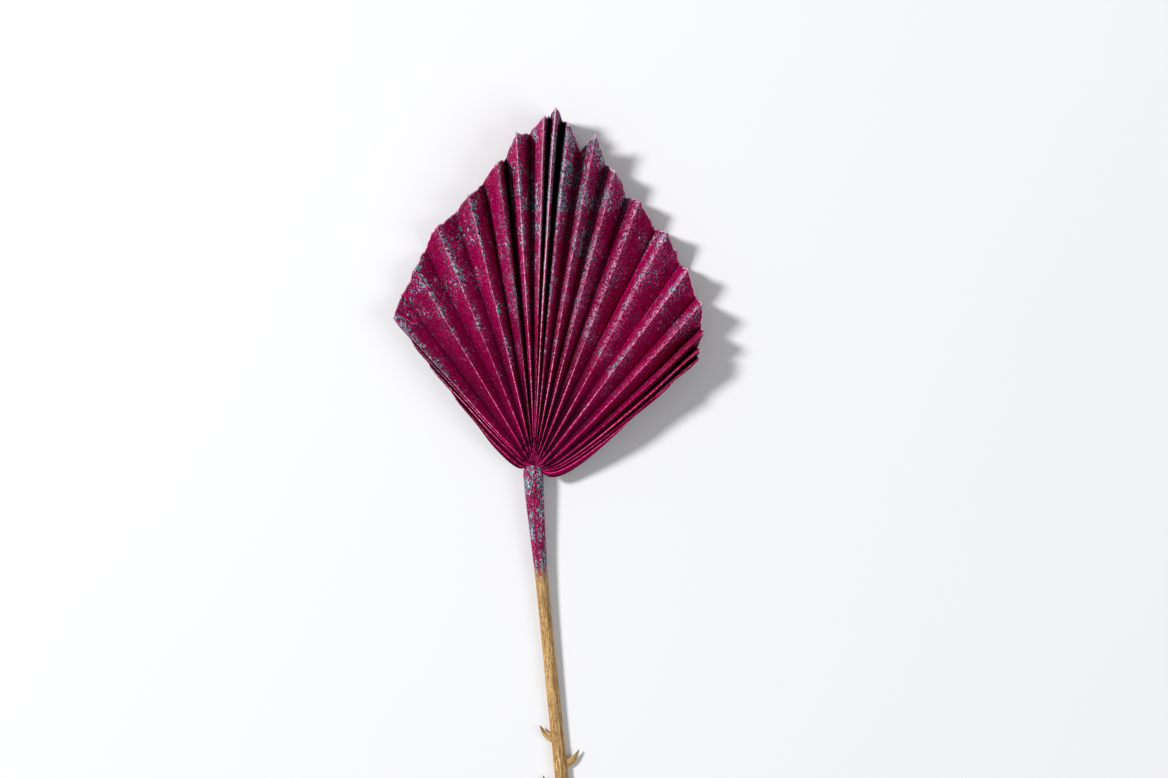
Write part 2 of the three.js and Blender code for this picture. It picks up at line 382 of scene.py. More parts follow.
def leaf_density(nodes, at, place):
    """Droplets lie thickest on the upper leaf, in clouds, and beside the crests."""
    clouds = nodes.noise(place, PATTERN["leaf_clouds"], 3, 0.62)
    near_edge = nodes.ramp(at["rim"], 0, 34, 0.12, 0)
    near_crest = nodes.times(nodes.ramp(at["ridge"], 0.5, 6.5, 1, 0), at["band"])
    density = nodes.plus(near_crest, nodes.plus(near_edge, at["spray"]))
    return nodes.plus(nodes.ramp(clouds, 0.36, 0.64, -0.32, 0.32), density, clamp=True)


def draw_crest_lines(nodes, at, place, fold_noise, colour):
    """Crest lines of rubbed-off paint and painted highlight, breaking up beside the crests into pale
    grains.
    """
    out = at["outward"]
    width = nodes.plus(nodes.ramp(fold_noise, 0.3, 0.7, 0.06, 0.2), nodes.ramp(out, 8, 70, 0.14, 0))
    width = nodes.times(width, nodes.ramp(at["crest_line_strength"], 1, 2, 1, 2.2))
    line = nodes.ramp(at["ridge"], nodes.times(width, 0.7), nodes.times(width, 1.25), 1, 0)
    gaps = along_folds(nodes, at, 5, 0.9, 2, 0.7)
    line = nodes.times(line, nodes.ramp(gaps, 0.40, 0.55, 0.15, 1))
    line = nodes.times(line, nodes.ramp(out, 20, 70, 1.8, 1))
    line = nodes.times(line, at["crest_line_strength"], clamp=True)
    line_colour = nodes.mix(nodes.ramp(out, 12, 50), HOT_PINK, WORN_AND_HIGHLIGHT_PINK)
    line_colour = nodes.mix(nodes.ramp(fold_noise, 0.42, 0.62, 0.85, 0), line_colour, HOT_PINK)
    line_colour = nodes.mix(at["smooth"], line_colour, HOT_PINK)
    colour = nodes.mix(line, colour, line_colour)
    grains = nodes.ramp(nodes.noise(place, PATTERN["grains"], 1.5, 0.5), 0.51, 0.56)
    reach = nodes.times(nodes.ramp(at["ridge"], 0.2, 6.5, 1, 0), nodes.ramp(fold_noise, 0.34, 0.6, 0.3, 1))
    grains = nodes.times(nodes.times(grains, reach), at["grainy"])
    return nodes.mix(grains, colour, GRAIN_PINK)


def darken_valleys(nodes, at, colour):
    """Painted shade and dust darken the valleys, and painted shade fills closed pleats, whose bottoms got
    no paint.
    """
    near = nodes.ramp(at["trough"], 0.2, 0.75, 0.75, 0)
    around = nodes.ramp(at["trough"], 0.3, 5, 0.34, 0)
    colour = nodes.mix(nodes.larger(near, around), colour, DARK_WINE)
    colour = nodes.mix(at["painted_shade"], colour, DARK_WINE)
    # Just above the stalk the folds are crushed together, with painted shade in streaks between them
    crushed = nodes.ramp(along_folds(nodes, at, 0.9, 0.45, 2, 0.6), 0.46, 0.56)
    crushed = nodes.times(crushed, nodes.ramp(at["outward"], 8, 17, 0.8, 0))
    return nodes.mix(crushed, colour, DARK_WINE)


def bare_edges(nodes, at, fold_noise, colour):
    """The cut edge has lost its paint in patches, and two crests are bare to the fibre."""
    cut = nodes.ramp(at["rim"], 0.3, nodes.ramp(fold_noise, 0.3, 0.7, 0.5, 1.2), 0.95, 0)
    patches = nodes.noise(nodes.vector(nodes.times(at["lane"], 1.7), 0.5), 1, 2, 0.7)
    cut = nodes.times(cut, nodes.ramp(patches, 0.4, 0.56, 0.25, 1))
    colour = nodes.mix(cut, colour, WORN_AND_HIGHLIGHT_PINK)
    return nodes.mix(at["bare"], colour, DRY)


def leaf_material():
    nodes = Nodes("painted_leaf")
    place = nodes.place()
    at = {name: nodes.attribute(name) for name in LEAF_ATTRIBUTES}
    density = leaf_density(nodes, at, place)
    grain = nodes.times(nodes.ramp(at["outward"], 25, 95, 0.4, 1), nodes.minus(1, at["smooth"]))
    # Painted light brightens some places and painted shade deepens others
    painted_brightening = nodes.larger(nodes.times(at["light_and_shade"], -1), 0)
    colour, dots, fine = paint_over(nodes, place, density, grain, painted_brightening)
    colour = nodes.mix(nodes.larger(at["light_and_shade"], 0), colour, DEEP)
    # Fine veins run along every fold
    veins = along_folds(nodes, at, 34, 0.03, 2, 0.6)
    colour = nodes.mix(nodes.ramp(veins, 0.5, 0.72, 0, 0.32), colour, DEEP)
    fold_noise = along_folds(nodes, at, 3, 0.32, 3, 0.7)
    colour = draw_crest_lines(nodes, at, place, fold_noise, colour)
    colour = darken_valleys(nodes, at, colour)
    colour = bare_edges(nodes, at, fold_noise, colour)
    relief = nodes.bump(veins, 0.35, 0.25 * MM)
    relief = nodes.bump(dots, 0.5, 0.12 * MM, relief)
    relief = nodes.bump(fine, 0.25, 0.2 * MM, relief)
    return nodes.finish(colour, nodes.ramp(dots, 0, 1, 0.6, 0.75), 0.02, relief)


# Droplets on the stalk are smaller than on the leaf, and longer than wide
STALK_DROPLETS = (2.1, 1.05, 2.1)


def stalk_material():
    nodes = Nodes("dry_stalk")
    place = nodes.place()
    along = nodes.attribute("along")
    around = nodes.attribute("around")
    lift = nodes.attribute("lift")

    def along_stalk(fine, coarse, detail, roughness):
        """Noise drawn out along the stalk."""
        across, up = nodes.times(around, fine), nodes.times(lift, fine)
        stretched = nodes.vector(across, nodes.times(along, coarse), up)
        return nodes.noise(stretched, 1, detail, roughness)

    # Long fibres in the bare stalk, browner at the teeth's points and the cut end
    fibres = along_stalk(0.8, 0.045, 3, 0.62)
    threads = along_stalk(1.7, 0.11, 3, 0.65)
    dashes = along_stalk(2.4, 0.6, 2, 0.6)
    greyed = nodes.noise(place, PATTERN["greyed"], 3, 0.65)
    bare = nodes.mix(nodes.ramp(fibres, 0.36, 0.64), STRAW, STRAW_LIGHT)
    bare = nodes.mix(nodes.ramp(greyed, 0.42, 0.68, 0, 0.35), bare, STRAW_GREY)
    bare = nodes.mix(nodes.ramp(threads, 0.46, 0.62, 0, 0.7), bare, STRAW_DARK)
    bare = nodes.mix(nodes.ramp(dashes, 0.52, 0.62, 0, 0.75), bare, STRAW_DARK)
    bare = nodes.mix(nodes.ramp(nodes.attribute("tip"), 0.45, 1, 0, 0.85), bare, PITH)
    bare = nodes.mix(nodes.times(nodes.attribute("end"), 0.5), bare, PITH)
    # Droplets lie in clouds, fewer on the sides at the top, in a stripe near the keel and at the end
    density = nodes.ramp(nodes.noise(place, PATTERN["stalk_clouds"], 3, 0.6), 0.36, 0.62, 0.40, 1)
    from_middle = nodes.math("ABSOLUTE", around)
    sides = nodes.times(nodes.ramp(along, 5, 14, 0.85, 0), nodes.ramp(from_middle, 3.3, 5.2))
    density = nodes.times(density, nodes.minus(1, sides))
    stripe = nodes.ramp(along, 4, 36, 1.2, -0.9)
    from_stripe = nodes.math("ABSOLUTE", nodes.minus(around, stripe))
    density = nodes.times(density, nodes.ramp(from_stripe, 0.3, 1.5, 0.45, 1))
    density = nodes.times(density, nodes.ramp(along, 60, 76, 1, 0.4))
    painted, _, fine = paint_over(nodes, nodes.scaled(place, STALK_DROPLETS), density, 1.0)
    painted = nodes.mix(nodes.ramp(fibres, 0.42, 0.6, 0, 0.5), painted, DEEP)
    # Paint ends in a ragged, thinning edge
    ragged = nodes.times(nodes.noise(place, PATTERN["ragged"], 3, 0.7), 0.75)
    streaks = nodes.times(along_stalk(1.9, 0.06, 2, 0.5), 0.3)
    limit = nodes.plus(nodes.plus(ragged, streaks), 0.05)
    cover = nodes.ramp(nodes.minus(limit, nodes.ramp(along, 42, 84)), -0.14, 0.24)
    colour = nodes.mix(cover, bare, painted)
    relief = nodes.bump(threads, 0.5, 0.35 * MM)
    relief = nodes.bump(fibres, 0.4, 0.5 * MM, relief)
    relief = nodes.bump(fine, 0.2, 0.2 * MM, relief)
    return nodes.finish(colour, 0.7, 0.1, relief)


# The blade

# Where folds of these azimuths meet: the middle ones at the petiole's top, the outer ones beside it
GATHER_AT = [-55, -45, -36, -20, 0, 13, 20, 30, 40, 48, 59, 66]
GATHER_X = [-3.4, -3.2, -2.0, -0.8, 0.1, 0.4, 1.2, 2.5, 3.0, 3.3, 3.4, 2.9]
GATHER_Y = [-4.1, -3.4, -2.9, -2.4, -2.2, -2.3, -2.4, -2.8, -3.3, -4.0, -4.3, -4.8]
GATHER_MIDDLE = np.array([0.0, -4.4, 0.0])
# How strongly single folds bend sideways between the knot and the edge, clockwise
BENDS = {
    10: 0.3, 11: 0.9, 12: 0.4, 13: 0.9, 14: 0.5, 15: 0.8, 16: 0.6, 17: 1.1, 18: 0.3, 19: -0.5, 20: -0.3,
    21: -0.6, 25: 0.3, 27: 0.9, 29: 0.9, 31: 1.4, 33: 0.8,
}
# A bend of 1 moves its fold by 0.7 at most, and a lobe's bow reaches its full size
BEND_SCALE = 2.8
BOW_SCALE = 2.14
SWAY = 0.55
WAVER = 0.5
DEEPEN = 0.42
DEEPEN_REACH = 13.0
GATHER_SINK = 0.3


def is_crest(index):
    return index % 2 == 1


def fold_elevations():
    """How steeply each fold rises from the knot, so that every facet keeps its true angle."""
    steps = []
    for i in range(len(FOLDS) - 1):
        open_angle = FOLDS[i + 1][0] - FOLDS[i][0]
        step = math.sqrt(FACET_ANGLE ** 2 - open_angle ** 2)
        steps.append(-step if is_crest(i) else step)
    elevations = np.zeros(len(FOLDS))
    for i in range(LEFT_CORNER, len(FOLDS) - 1):
        elevations[i + 1] = elevations[i] + steps[i]
    for i in range(LEFT_CORNER, 0, -1):
        elevations[i - 1] = elevations[i] - steps[i - 1]
    return elevations


def lobe_bow(azimuth):
    """How far a fold of one of the two basal lobes bulges down beside the stalk."""
    lobe = RIGHT_LOBE if azimuth > 0 else LEFT_LOBE
    share = min(1, max(0, (abs(azimuth) - lobe["from"]) / (lobe["to"] - lobe["from"]))) ** 1.4
    return lobe["bow"] * share


def fold_curve(index, elevation, t):
    """Points along one fold, from the gathering ring at t = 0 to the trimmed edge at t = 1."""
    azimuth, reach = FOLDS[index]
    end = math.radians(azimuth)
    begin = np.array([np.interp(azimuth, GATHER_AT, GATHER_X), np.interp(azimuth, GATHER_AT, GATHER_Y)])
    finish = np.array([math.sin(end), math.cos(end)]) * reach
    along = (finish - begin) / np.linalg.norm(finish - begin)
    sideways = np.array([along[1], -along[0]])
    bow = BOW_SCALE * lobe_bow(azimuth) * t ** 0.3 * (1 - t) ** 1.2
    outward = sideways * (-1 if azimuth < 0 else 1)
    plan = begin + (finish - begin) * t[:, None] + outward * bow[:, None]
    # A dried fold never runs quite straight
    sway = SWAY * ripple(SEEDS["sway"], index * 0.22, t * 5.5) * t
    bend = BENDS.get(index, 0) * BEND_SCALE * t ** 0.6 * (1 - t) ** 2
    plan = plan + sideways * (sway + bend)[:, None]
    radius = np.linalg.norm(plan, axis=1)
    tip_droop = TIP_DROOP * (radius / LONGEST_FOLD) ** 2
    droop = tip_droop + SIDE_DROOP * ((plan[:, 0] - SPINE_X) / SIDE_REACH) ** 2
    # Before the knot a fold stays low, so the folds pass over it without a dip
    progress = plan @ along
    eased = 0.5 * (progress + np.sqrt(progress ** 2 + 4))
    climb = radius + (eased - radius) * falloff(6, 14, radius)
    rise = climb * math.tan(math.radians(elevation + BASE_ELEVATION))
    rise = rise - plan[:, 0] * math.tan(math.radians(ROLL))
    height = KNOT_HEIGHT + rise - droop * np.clip(radius / SIDE_REACH, 0, 1) - bow * LOBE_DROP
    height += WAVER * ripple(SEEDS["waver"], index * 0.9, t * 6) * t * (1 - t) * 2
    # Close to the knot the pleats are deepest, and at their meeting point they sink a little
    past_knot = smoothstep(-3, 5, progress)
    deepen = DEEPEN * np.exp(-np.clip(radius - GATHER_RADIUS, 0, None) / DEEPEN_REACH) * past_knot
    height += deepen if is_crest(index) else -deepen
    height -= GATHER_SINK * falloff(0, 5, np.linalg.norm(plan - GATHER_MIDDLE[:2], axis=1))
    return np.column_stack([plan, height])


def darkness(facet, down, radius):
    """Painted shade where little paint and light reach: 0 on open facets, 1 deep in a closed pleat."""
    valley = facet + 1 if is_crest(facet) else facet
    before, after = max(valley - 1, 0), min(valley + 1, len(FOLDS) - 1)
    azimuth = FOLDS[facet][0]
    width = FOLDS[after][0] - FOLDS[before][0]
    shallow = 0.12 + 0.40 * float(smoothstep(2.4, 3.9, width))
    middle = smoothstep(-50, -44, azimuth) * falloff(57, 61, azimuth)
    deep = falloff(3.9, 4.6, width) * smoothstep(shallow, shallow + 0.4, down) * (0.5 + 0.5 * middle)
    # Near the knot every fold is tight, with painted shade deepening towards its valley
    if is_crest(facet):
        strength = 0.25 + 0.60 * smoothstep(-32, -16, azimuth) - 0.05 * smoothstep(30, 40, azimuth)
        groove = falloff(22, 76, radius) * strength * smoothstep(0.03, 0.5, down)
    else:
        strength = 0.25 + 0.72 * smoothstep(-24, -12, azimuth) - 0.25 * smoothstep(32, 42, azimuth)
        reach = 105 - 22 * smoothstep(6, 9, azimuth)
        groove = falloff(28, reach, radius) * strength * smoothstep(-0.1, 1, down)
        tight = smoothstep(-18, -10, azimuth) * falloff(32, 62, radius) * smoothstep(-0.7, 0.4, down)
        tight = tight * (1 - 0.35 * smoothstep(40, 44, azimuth))
        groove = np.maximum(groove, 0.94 * tight)
    groove = groove * (0.2 + 0.8 * middle) * (0.4 + 0.6 * smoothstep(2, 9, radius))
    return np.maximum(deep, groove)


def trough_scale(facet):
    """How fast the painted shade and dust beside a valley thin out over a facet: above 1, they stay close
    to the valley.
    """
    if is_crest(facet):
        return 1.8
    if facet < 15:
        return 0.75
    return 4 if facet > 22 else 1


ROWS = 86
ROW_CROWDING = 1.25
INNER = [0.04, 0.3, 0.5, 0.7, 0.86]
ACROSS = [0.0, 0.025, 0.07, 0.16, 0.32, 0.5, 0.68, 0.84, 0.93, 0.975]
RAGGED = {"fine": 0.35, "broad": 0.8, "cut_back": 0.9}


def folded_sheet(folds, t):
    """The facets between the folds as columns of points, with what the material needs to know of each."""
    columns, lane, reach_at = [], [], []
    fields = {"ridge": [], "trough": [], "painted_shade": []}
    for i in range(len(FOLDS) - 1):
        low, high = folds[i], folds[i + 1]
        span = high - low
        width = np.linalg.norm(span, axis=1)
        ahead = np.gradient((low + high) / 2, axis=0)
        normal = np.cross(span, ahead)
        normal /= np.linalg.norm(normal, axis=1)[:, None]
        normal *= np.sign(normal[:, 2:3])
        # Folds are rounded, and facets swell a little
        roundness = np.minimum(0.5 + 0.35 * math.sin(i * 1.7), 0.09 * width)
        unevenness = 0.022 + 0.02 * ripple(SEEDS["swell"], i * 1.3, t * 3)
        swell = unevenness * width * smoothstep(0.05, 0.3, t)
        for u in ACROSS:
            from_crest = (u if is_crest(i) else 1 - u) * width
            from_valley = (1 - u if is_crest(i) else u) * width
            point = low + span * u
            point[:, 2] -= roundness * np.exp(-from_crest / (1.4 * roundness))
            point[:, 2] += roundness * np.exp(-from_valley / (1.4 * roundness))
            point += normal * (swell * math.sin(math.pi * u))[:, None]
            columns.append(point)
            fields["ridge"].append(from_crest)
            fields["trough"].append(from_valley * trough_scale(i))
            fields["painted_shade"].append(darkness(i, from_crest / width, np.linalg.norm(point[:, :2], axis=1)))
            lane.append(i + u)
            reach_at.append(FOLDS[i][1] * (1 - u) + FOLDS[i + 1][1] * u)
    columns.append(folds[-1])
    fields["ridge"].append(np.linalg.norm(folds[-1] - folds[-2], axis=1))
    fields["trough"].append(np.zeros(ROWS))
    fields["painted_shade"].append(np.zeros(ROWS))
    lane.append(len(FOLDS) - 1)
    reach_at.append(FOLDS[-1][1])
    fields = {key: np.array(values) for key, values in fields.items()}
    return np.array(columns), fields, np.array(lane), np.array(reach_at)


def blade_surface():
    """The middle of the folded sheet as a grid of points, with what the material needs to know."""
    elevations = fold_elevations()
    t = np.linspace(0, 1, ROWS) ** ROW_CROWDING
    folds = [fold_curve(i, elevations[i], t) for i in range(len(FOLDS))]
    grid, fields, lane, reach_at = folded_sheet(folds, t)
    # The trimming left a slightly ragged edge
    ragged = RAGGED["fine"] * np.random.RandomState(SEEDS["edge"]).standard_normal(len(lane))
    ragged = ragged + RAGGED["broad"] * ripple(SEEDS["cut"], lane * 2.3, 0 * lane)
    outward = grid[:, -1] - grid[:, -6]
    outward /= np.linalg.norm(outward, axis=1)[:, None]
    pull = smoothstep(0.93, 1.0, t)
    trimmed = ragged[:, None] * pull[None, :] - RAGGED["cut_back"] * pull[None, :]
    grid += outward[:, None, :] * trimmed[:, :, None]
    fields["rim"] = (1 - t)[None, :] * reach_at[:, None]
    # Inside the gathering ring the folds run on to the knot
    first = grid[:, :1]
    inner = np.concatenate([GATHER_MIDDLE + (first - GATHER_MIDDLE) * [s, s, 1] for s in INNER], axis=1)
    middle = first[:, :, 2].mean()
    for k, s in enumerate(INNER):
        inner[:, k, 2] = middle - 0.1 * (1 - s) + (first[:, 0, 2] - middle) * s
    grid = np.concatenate([inner, grid], axis=1)
    narrowing = {"ridge": np.array(INNER), "trough": np.array(INNER)}
    for key, values in fields.items():
        kept = narrowing.get(key, np.ones(len(INNER)))
        fields[key] = np.concatenate([values[:, :1] * kept, values], axis=1)
    lanes = np.repeat(lane[:, None], grid.shape[1], axis=1)
    return grid, fields, lanes


# Lanes count the folds from the left margin: 7 is the left corner, 21 the tip, about 34 the right corner

# Crests that stand proud, with most paint lost and the most painted highlight, and crests bare to the
# fibre, by lane
STRONGEST_CREST_LINES = {
    11: 0.3, 17: 0.9, 19: 1.9, 21: 2.3, 23: 0.4, 25: 0.1, 27: 0.3, 29: 0.1, 31: 0.3, 33: 0.4, 35: 0.4,
}
BARE_CRESTS = {19: 0.75, 21: 0.85}
DENSEST_LANE = 21.5
DENSE_LANES = 4.8


def spray_density(lanes, radius):
    """How densely droplets lie: thickest beside the tip and towards the cut edge."""
    centre = np.exp(-((lanes - DENSEST_LANE) / DENSE_LANES) ** 2)
    spray = (0.17 + 0.38 * centre) * smoothstep(66, 140, radius)
    spray += 0.07 * ripple(SEEDS["spray"], lanes * 1.9, radius * 0.02)
    spray -= 0.08 * smoothstep(27, 29, lanes) * falloff(33, 35, lanes) * smoothstep(90, 120, radius)
    spray -= 0.09 * falloff(13, 16, lanes)
    spray += 0.12 * falloff(11, 14, lanes) * smoothstep(84, 110, radius)
    spray -= 0.26 * smoothstep(33, 37, lanes) + 0.20 * falloff(30, 75, radius) - 0.06
    return spray


def crest_band(lanes, radius, towards_middle):
    """How many more droplets lie beside a crest, most of them on the facet that faces the middle."""
    band = np.where(towards_middle, 0.58, 0.08) * smoothstep(30, 80, radius)
    band *= 1 - 0.8 * smoothstep(32, 35, lanes)
    band *= 1 - 0.4 * smoothstep(14, 17, lanes) * falloff(29, 33, lanes)
    return band


def crest_line_brightness(lanes, radius):
    """How strong the crest lines are: paint lost from the crests, and painted highlight."""
    line_strength = 0.80 + 0.20 * np.sin(lanes * 2.1 + 1.0)
    line_strength *= 1 - 0.3 * smoothstep(23, 26, lanes) * falloff(31, 33, lanes) * smoothstep(60, 100, radius)
    line_strength *= 1 - 0.4 * np.exp(-((lanes - 20) / 3.5) ** 2) * falloff(40, 70, radius)
    line_strength *= 1 + 0.6 * smoothstep(29, 32, lanes) * falloff(35, 60, radius)
    for crest, extra in STRONGEST_CREST_LINES.items():
        line_strength += extra * np.exp(-((lanes - crest) / 0.4) ** 2) * smoothstep(60, 100, radius)
    return line_strength


def crest_grains(lanes, radius, towards_middle):
    """How many pale grains lie beside the crests, most of them right of the tip."""
    grains = 0.62 * smoothstep(21, 25, lanes) * np.where(towards_middle, 1, 0.3)
    grains *= smoothstep(40, 95, radius)
    grains *= falloff(34, 37, lanes)
    return grains + 0.18 * smoothstep(60, 110, radius)


def bare_crests(lanes, radius, ridge):
    """Two crests beside the tip are bare to the fibre."""
    bare = np.zeros_like(lanes)
    for crest, share in BARE_CRESTS.items():
        line = np.exp(-(ridge / 0.3) ** 2) * (np.abs(lanes - crest) < 0.08)
        patchy = 0.8 + 0.2 * ripple(SEEDS["bare"] + crest, radius * 0.1, 0)
        bare += share * line * smoothstep(70, 120, radius) * patchy
    return bare


def painted_light_and_shade(lanes, radius):
    """Painted shade above 0, where the paint is made deeper, and painted light below 0, where it is made
    brighter.
    """
    facet = np.floor(lanes)
    falling = facet % 2 == 1
    down = np.where(falling, lanes % 1, 1 - lanes % 1)
    # Painted shade on the facets left of the tip, a little more on those that rise to a crest
    light_and_shade = 0.24 - 0.20 * smoothstep(7, 15, lanes) + np.where(falling, 0.12, 0.16) * falloff(13, 17, lanes)
    light_and_shade += 0.12 * falloff(8, 11, lanes) * smoothstep(45, 65, radius) * falloff(92, 108, radius)
    # On the right, painted shade deepens the paint near the crests and painted light brightens it down
    # the folds
    further = smoothstep(26, 28, lanes)
    fall_light_and_shade = 0.12 - (0.6 - 0.24 * further) * smoothstep(0.4, 1, down)
    rise_light_and_shade = 0.42 - 0.25 * smoothstep(29, 32, lanes) - 0.2 * smoothstep(33, 35, lanes)
    rise_light_and_shade *= falloff(0.5, 0.95, down)
    painted_brightening = (0.7 - 0.3 * further) * smoothstep(0.45, 0.9, down) * smoothstep(60, 100, radius)
    rise_light_and_shade -= painted_brightening * falloff(30, 32, lanes)
    right = smoothstep(22, 24, lanes) * smoothstep(36, 56, radius)
    light_and_shade += np.where(falling, fall_light_and_shade, rise_light_and_shade) * right
    # Three facets beside the tip get painted shade and painted light of their own
    shaded = smoothstep(0.2, 0.6, down) * smoothstep(30, 45, radius) * falloff(90, 150, radius)
    light_and_shade += np.where(facet == 16, 0.5, 0) * shaded
    light_and_shade -= np.where(facet == 17, 0.35, 0) * smoothstep(0.3, 0.8, down) * smoothstep(80, 110, radius)
    light_and_shade += np.where(facet == 20, 0.5, 0) * smoothstep(0.1, 0.5, down) * smoothstep(90, 120, radius)
    return light_and_shade


SHEET_THICKNESS = 0.42
UNDERSIDE_SPRAY = 0.22
# How much of the painted shade shows on the upper and on the lower side
PAINTED_SHADE_ABOVE = 0.96
PAINTED_SHADE_BELOW = 0.5


def blade_attributes(fields, lanes, radius):
    """What the material needs to know of each point, first on the upper side and then on the lower."""
    both = {"rim": fields["rim"], "outward": radius, "lane": lanes}
    towards_middle = np.where(lanes < 19, np.floor(lanes) % 2 == 1, np.floor(lanes) % 2 == 0)
    both["crest_line_strength"] = crest_line_brightness(lanes, radius)
    both["band"] = crest_band(lanes, radius, towards_middle)
    both["grainy"] = crest_grains(lanes, radius, towards_middle)
    both["light_and_shade"] = painted_light_and_shade(lanes, radius)
    both["smooth"] = 0.75 * smoothstep(32, 37, lanes)
    attributes = {key: np.tile(values.ravel(), 2) for key, values in both.items()}
    spray = spray_density(lanes, radius)
    bare = bare_crests(lanes, radius, fields["ridge"])
    # Crests above are valleys below
    two_sided = {
        "ridge": (fields["ridge"], fields["trough"]),
        "trough": (fields["trough"], fields["ridge"]),
        "spray": (spray, spray - UNDERSIDE_SPRAY),
        "painted_shade": (fields["painted_shade"] * PAINTED_SHADE_ABOVE, fields["painted_shade"] * PAINTED_SHADE_BELOW),
        "bare": (bare, 0 * bare),
    }
    for key, (above, below) in two_sided.items():
        attributes[key] = np.concatenate([above.ravel(), below.ravel()])
    return attributes


def sheet_faces(wide, deep):
    """Faces of a closed sheet: two smooth sides and a flat strip around them."""
    total = wide * deep
    faces = []
    for i in range(wide - 1):
        for k in range(deep - 1):
            a, b = i * deep + k, (i + 1) * deep + k
            faces.append((a, b, b + 1, a + 1))
    faces += [(a + total, d + total, c + total, b + total) for a, b, c, d in faces]
    flat_from = len(faces)
    for i in range(wide - 1):
        a, b = i * deep, (i + 1) * deep
        faces.append((a, a + total, b + total, b))
        a, b = a + deep - 1, b + deep - 1
        faces.append((a, b, b + total, a + total))
    for k in range(deep - 1):
        faces.append((k, k + 1, k + 1 + total, k + total))
        a = (wide - 1) * deep + k
        faces.append((a, a + total, a + 1 + total, a + 1))
    return faces, [n < flat_from for n in range(len(faces))]


def build_blade(material):
    grid, fields, lanes = blade_surface()
    normal = np.cross(np.gradient(grid, axis=0), np.gradient(grid, axis=1))
    normal /= np.maximum(np.linalg.norm(normal, axis=2), 1e-9)[:, :, None]
    radius = np.linalg.norm(grid[:, :, :2], axis=2)
    # The sheet thins towards the knot and at the cut edge
    thick = SHEET_THICKNESS * (0.35 + 0.65 * smoothstep(4, 40, radius))
    thick = thick * (0.7 + 0.3 * smoothstep(0, 3, fields["rim"]))
    upper = grid + normal * (thick / 2)[:, :, None]
    lower = grid - normal * (thick / 2)[:, :, None]
    points = np.concatenate([upper.reshape(-1, 3), lower.reshape(-1, 3)])
    faces, smooth = sheet_faces(*grid.shape[:2])
    attributes = blade_attributes(fields, lanes, radius)
    return make_object("pleated_blade", points, faces, smooth, attributes, material,
                       "blade")


# The petiole

STALK_ROWS = 230
STALK_SIDES = 64
STALK_CROWDING = 1.25
KEEL_RISE = 0.3
RIBS = 0.10
FINE_RIBS = 0.05
BULGES = 0.16
RIB_INSET = 0.12
TOOTH_RINGS = 14
TOOTH_SIDES = 12
TOOTH_WIDTH = 2.5
TOOTH_DEPTH = 0.85
TOOTH_ROOT = 1.2
TOOTH_REACH = 0.66
TOOTH_CLIMB = 0.75


def lean_at(along):
    return TOP_OFFSET + LEAN * along * along / (along + LEAN_LENGTH)


def width_at(along):
    top_flare = TOP_FLARE * np.exp(-((along / FLARE_LENGTH) ** 2))
    return SLIM_WIDTH + top_flare + BASE_FLARE * (along / PETIOLE_LENGTH)


def margin_height(along):
    lift = PETIOLE_LIFT * falloff(0, LEVEL_FROM, along)
    return lift + FLAT_DEPTH * width_at(along) * DEPTH_TO_WIDTH / 2


class Stalk:
    """The stalk's points and faces, with what the material needs to know of each point."""

    def __init__(self):
        self.points, self.faces, self.smooth = [], [], []
        self.attributes = {"along": [], "around": [], "lift": [], "tip": [], "end": []}

    def add_points(self, points, **values):
        self.points += points
        for key, given in self.attributes.items():
            given += np.broadcast_to(values.get(key, 0.0), len(points)).tolist()

    def add_faces(self, faces, smooth=True):
        self.faces += faces
        self.smooth += [smooth] * len(faces)


def add_shaft(stalk):
    """The keeled stalk, rounded off where it enters the knot and cut square at its other end."""
    spread = (np.arange(STALK_ROWS) / (STALK_ROWS - 1)) ** STALK_CROWDING
    turns = 2 * math.pi * np.arange(STALK_SIDES) / STALK_SIDES
    up, across = np.sin(turns), np.cos(turns)
    keel = 1 + KEEL_RISE * (1 - np.abs(across))
    for along in PETIOLE_TOP + (PETIOLE_LENGTH - PETIOLE_TOP) * spread:
        inside = min(1.0, (along - PETIOLE_TOP + 0.15) / TONGUE_LENGTH)
        half = width_at(along) / 2 * math.sqrt(1 - (1 - inside) ** 2.7)
        depth = half * DEPTH_TO_WIDTH
        rise = np.where(up > 0, depth * up * keel, depth * np.maximum(-FLAT_DEPTH, up))
        ribs = RIBS * ripple(SEEDS["ribs"], turns * 9, along * 0.012)
        ribs = ribs + FINE_RIBS * ripple(SEEDS["fine_ribs"], turns * 21, along * 0.03)
        ribs = ribs * min(1.0, half / 3)
        bulge = BULGES * ripple(SEEDS["bulges"], 0 * turns, along * 0.05)
        x = lean_at(along) + across * (half + ribs - RIB_INSET + bulge * 0.5)
        z = margin_height(along) + rise + np.where(up > 0, up * ribs, 0)
        ring = [(a, -along, b) for a, b in zip(x, z)]
        stalk.add_points(ring, along=along, around=across * half, lift=up * depth)
    stalk.add_faces(tube_faces(0, STALK_ROWS, STALK_SIDES))
    stalk.add_faces([tuple(range(STALK_SIDES))[::-1]])
    # The cut end has its own points, so that it can be darker
    base = len(stalk.points)
    stalk.add_points(ring, along=PETIOLE_LENGTH, around=across * half, lift=up * depth, end=1.0)
    stalk.add_faces([tuple(range(base, base + STALK_SIDES))], smooth=False)


